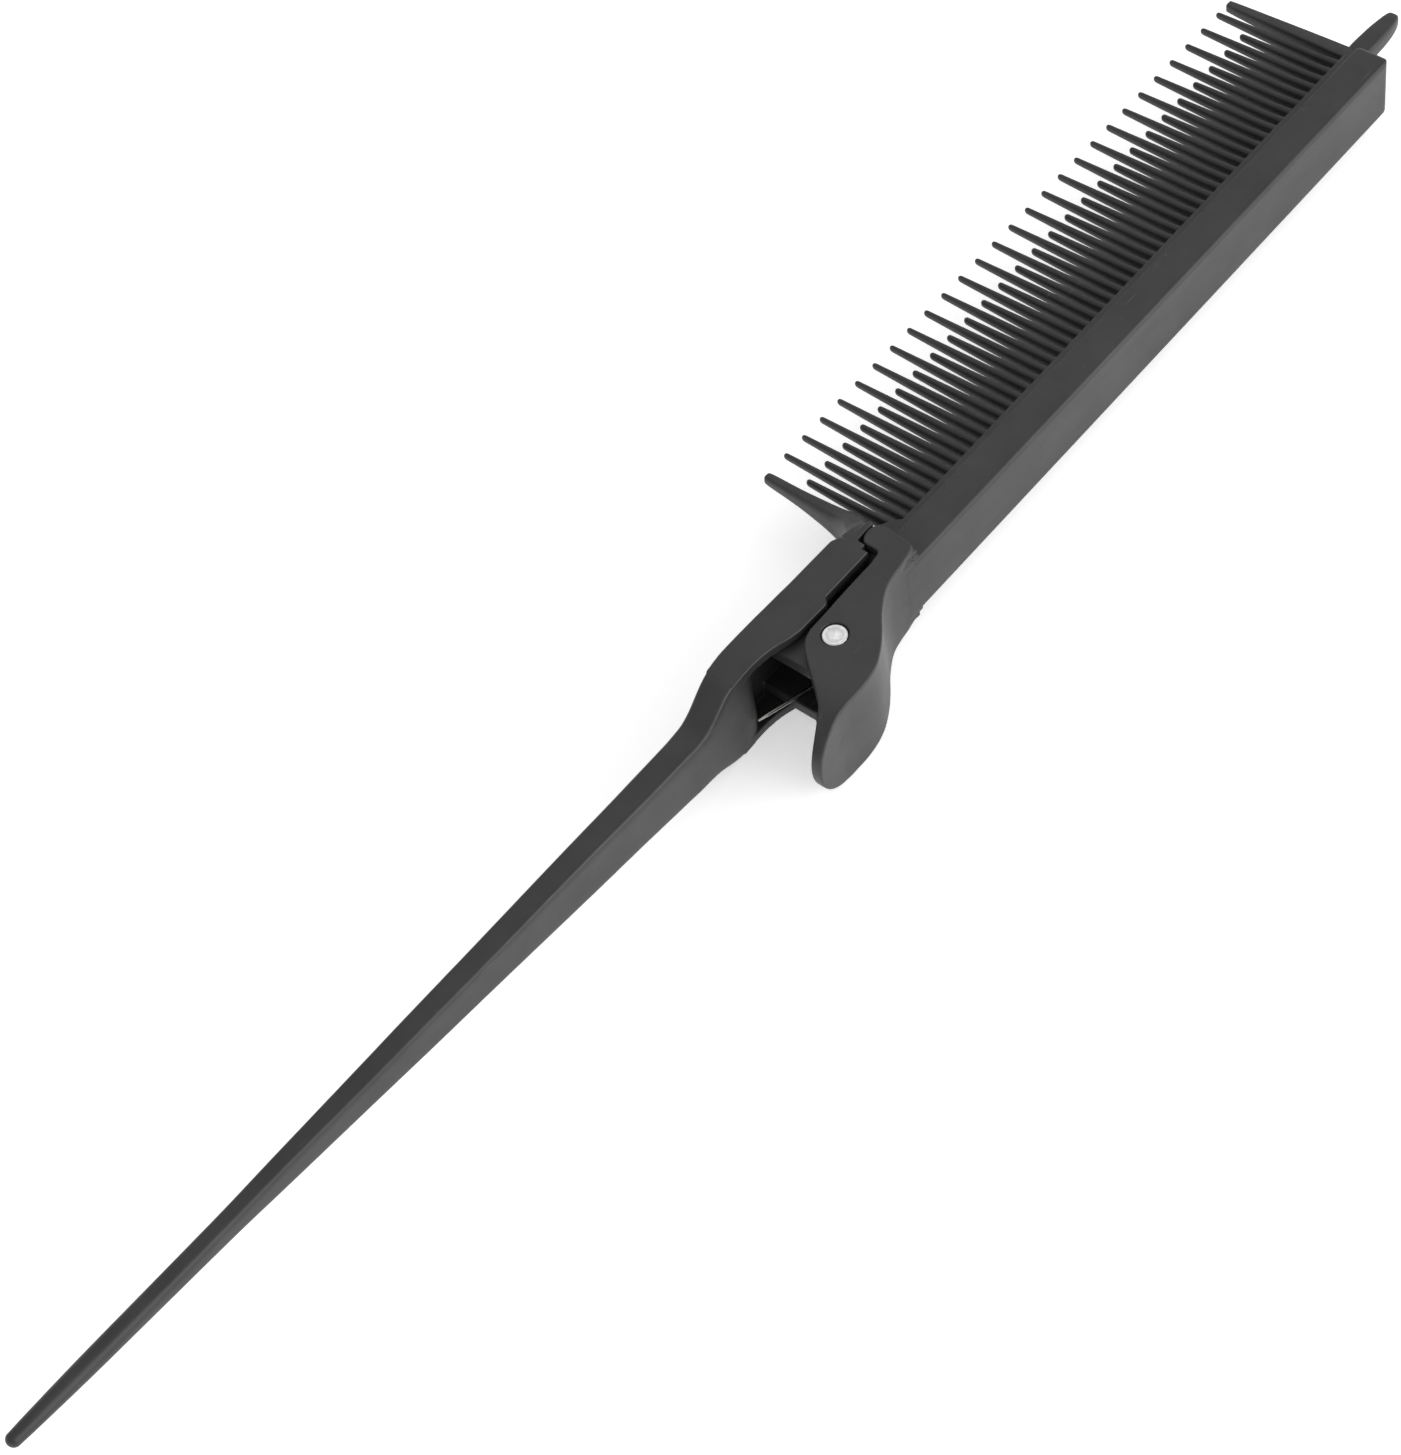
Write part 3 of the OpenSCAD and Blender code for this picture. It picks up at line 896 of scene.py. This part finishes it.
row = tooth_row(first_long_x, long_tip_y, long_mid, long_tip)
long_row = new_object("long_tooth_row", row.mesh("long_tooth_row"))
finish_piece(long_row, comb_plastic, "comb", ("long_teeth",), 60)

row = tooth_row(first_long_x - tooth_pitch / 2, short_tip_y, short_mid, short_tip)
short_row = new_object("short_tooth_row", row.mesh("short_tooth_row"))
finish_piece(short_row, comb_plastic, "comb", ("short_teeth",), 60)

clamp = one_skin(clamp_shell(), "clamp_moulding", pivot_cuts())
finish_piece(clamp, clamp_plastic, "clamp",
             ("channel_floor", "channel_jaws", "pivot_cheeks", "lever_web", "thumb_lever"), 0)

rivet = new_object("rivet_pin", rivet_shell().mesh("rivet_pin"))
finish_piece(rivet, rivet_metal, "comb", ("pivot_rivet",))

spring_skin, coil_start_z, coil_rise = spring_shell()
spring = new_object("spring_wire", spring_skin.mesh("spring_wire"))
spring.data.materials.append(spring_steel)
spring.data.shade_smooth()
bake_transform(spring)
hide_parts("torsion_spring")

# ---------------------------------------------------------------- floor, light and camera

floor_mesh = bpy.data.meshes.new("studio_floor")
floor_gap = 0.0001
reach = 2.5
floor_mesh.from_pydata([(-reach, -reach, 0), (reach, -reach, 0), (reach, reach, 0), (-reach, reach, 0)],
                       [], [(0, 1, 2, 3)])
floor = new_object("studio_floor", floor_mesh)
floor.location = (0, 0, cad_low.z - floor_gap)
floor.data.materials.append(pale_floor())

world = bpy.data.worlds.new("studio_world")
bpy.context.scene.world = world
world.use_nodes = True
world.node_tree.nodes["Background"].inputs["Color"].default_value = (1, 1, 1, 1)
world.node_tree.nodes["Background"].inputs["Strength"].default_value = 0.64


def soft_light(name, place, aim, size, power):
    lamp = bpy.data.lights.new(name, "AREA")
    lamp.shape = "RECTANGLE"
    lamp.size = size[0]
    lamp.size_y = size[1]
    lamp.energy = power
    made = bpy.data.objects.new(name, lamp)
    bpy.context.scene.collection.objects.link(made)
    made.location = place
    made.rotation_mode = "QUATERNION"
    made.rotation_quaternion = (Vector(aim) - Vector(place)).to_track_quat("-Z", "Y")
    made.visible_camera = False
    return made


soft_light("side_softbox", (0.25, -0.75, 0.35), (0, 0, 0), (0.9, 0.6), 5.4)
# Mirrored to the camera by the rivet's head
soft_light("mirror_softbox", (0.27, 0.27, 0.5), (0, 0, 0), (0.45, 0.45), 0.22)

# Lens, directions and place were solved from the perspective of the photograph
camera_data = bpy.data.cameras.new("studio_camera")
camera = bpy.data.objects.new("studio_camera", camera_data)
bpy.context.scene.collection.objects.link(camera)
camera_data.sensor_width = 36
camera_data.lens = 92.83
right = Vector((0.6323, -0.7655, -0.1194)).normalized()
forward = Vector((0.398, 0.4532, -0.7976)).normalized()
up = right.cross(forward).normalized()
right = forward.cross(up)
turn = Matrix((right, up, -forward)).transposed()
camera.rotation_mode = "QUATERNION"
camera.rotation_quaternion = turn.to_quaternion()
camera.location = (-0.20991, -0.20991, 0.39263)
camera_data.clip_start = 0.01
camera_data.clip_end = 20
bpy.context.scene.camera = camera
bpy.context.scene.view_settings.view_transform = "Standard"
